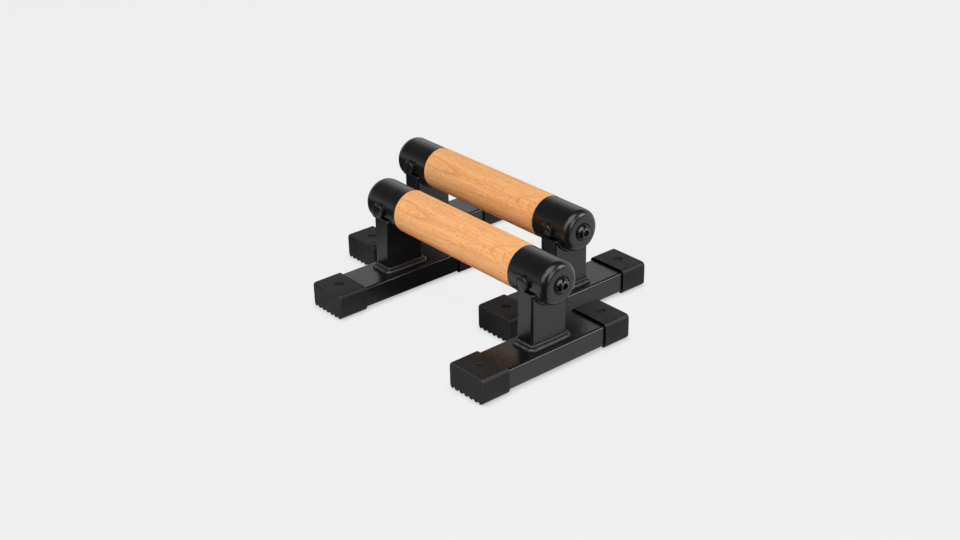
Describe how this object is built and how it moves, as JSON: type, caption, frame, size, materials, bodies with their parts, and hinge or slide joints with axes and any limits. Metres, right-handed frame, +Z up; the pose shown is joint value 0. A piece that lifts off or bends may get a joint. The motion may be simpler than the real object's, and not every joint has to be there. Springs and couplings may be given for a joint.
{
  "type": "parallette bars",
  "caption": "Low free-standing parallettes: round wooden handles held in closed steel cups on welded posts and cross feet, with ribbed rubber caps under the feet.",
  "frame": {"origin": "centre of the pair's footprint, on the floor", "axes": "+X along the two handles, +Y from the front bar to the rear bar, +Z up"},
  "size_m": [0.3984, 0.32, 0.1299],
  "materials": {
    "beech_wood": "sanded beech, thin satin varnish",
    "black_powder_coat": "satin black powder coat with a fine texture",
    "coated_weld": "rippled weld bead under the same powder coat",
    "black_rubber": "matte moulded rubber",
    "black_bolt_steel": "black oxide, semi-gloss",
    "black_washer": "black zinc, semi-gloss"
  },
  "bodies": {
    "front_bar": {"front_handle": "beech_wood", "front_left_cup": "black_powder_coat", "front_right_cup": "black_powder_coat", "front_left_post": "black_powder_coat", "front_right_post": "black_powder_coat", "front_left_foot_tube": "black_powder_coat", "front_right_foot_tube": "black_powder_coat", "front_left_cup_weld": "coated_weld", "front_right_cup_weld": "coated_weld", "front_left_foot_weld": "coated_weld", "front_right_foot_weld": "coated_weld", "front_left_near_foot_cap": "black_rubber", "front_left_far_foot_cap": "black_rubber", "front_right_near_foot_cap": "black_rubber", "front_right_far_foot_cap": "black_rubber", "front_left_end_bolt": "black_bolt_steel", "front_right_end_bolt": "black_bolt_steel", "front_left_end_washer": "black_washer", "front_right_end_washer": "black_washer", "front_left_cross_bolt": "black_bolt_steel", "front_right_cross_bolt": "black_bolt_steel"},
    "rear_bar": {"rear_handle": "beech_wood", "rear_left_cup": "black_powder_coat", "rear_right_cup": "black_powder_coat", "rear_left_post": "black_powder_coat", "rear_right_post": "black_powder_coat", "rear_left_foot_tube": "black_powder_coat", "rear_right_foot_tube": "black_powder_coat", "rear_left_cup_weld": "coated_weld", "rear_right_cup_weld": "coated_weld", "rear_left_foot_weld": "coated_weld", "rear_right_foot_weld": "coated_weld", "rear_left_near_foot_cap": "black_rubber", "rear_left_far_foot_cap": "black_rubber", "rear_right_near_foot_cap": "black_rubber", "rear_right_far_foot_cap": "black_rubber", "rear_left_end_bolt": "black_bolt_steel", "rear_right_end_bolt": "black_bolt_steel", "rear_left_end_washer": "black_washer", "rear_right_end_washer": "black_washer", "rear_left_cross_bolt": "black_bolt_steel", "rear_right_cross_bolt": "black_bolt_steel"}
  },
  "joints": [
    {"name": "spacing", "type": "slide", "parent": "front_bar", "child": "rear_bar", "axis": [0, 1, 0], "range_m": [-0.04, 0.4]}
  ]
}
